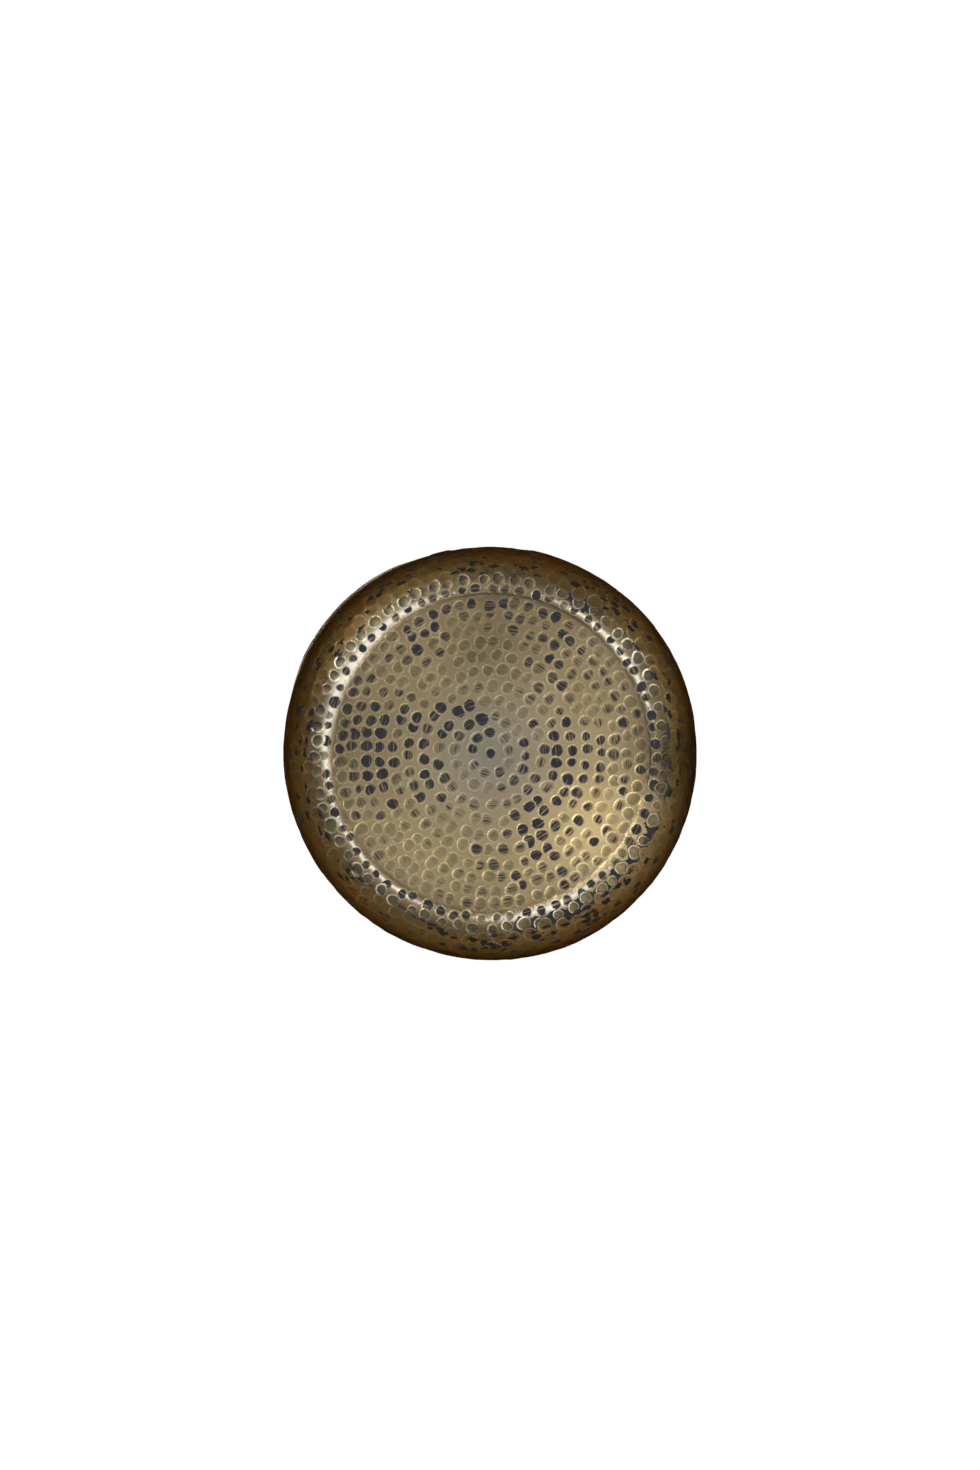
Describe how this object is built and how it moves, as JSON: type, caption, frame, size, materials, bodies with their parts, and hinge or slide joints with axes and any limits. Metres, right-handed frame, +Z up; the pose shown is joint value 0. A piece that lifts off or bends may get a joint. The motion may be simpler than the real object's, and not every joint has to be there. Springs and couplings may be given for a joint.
{
  "type": "tam-tam gong",
  "caption": "Hammered bronze gong with a nearly flat face inside a raised ridge, a rounded rim turned back all round, and two drilled cord holes to hang it by.",
  "frame": {"origin": "centre of the gong's bounding box: on its axis, midway between the top of the front ridge and the rim edge", "axes": "+Z up as the gong hangs, +Y along its axis out of the open back, so the struck face looks along -Y; +X to the right seen from the front"},
  "size_m": [0.406, 0.054, 0.406],
  "materials": {
    "bronze": "hand-hammered tin bronze, lathed to a satin gold over dark hammer marks, brown and unlathed towards the rim"
  },
  "bodies": {
    "root": {"gong_disc": "bronze"}
  },
  "joints": []
}
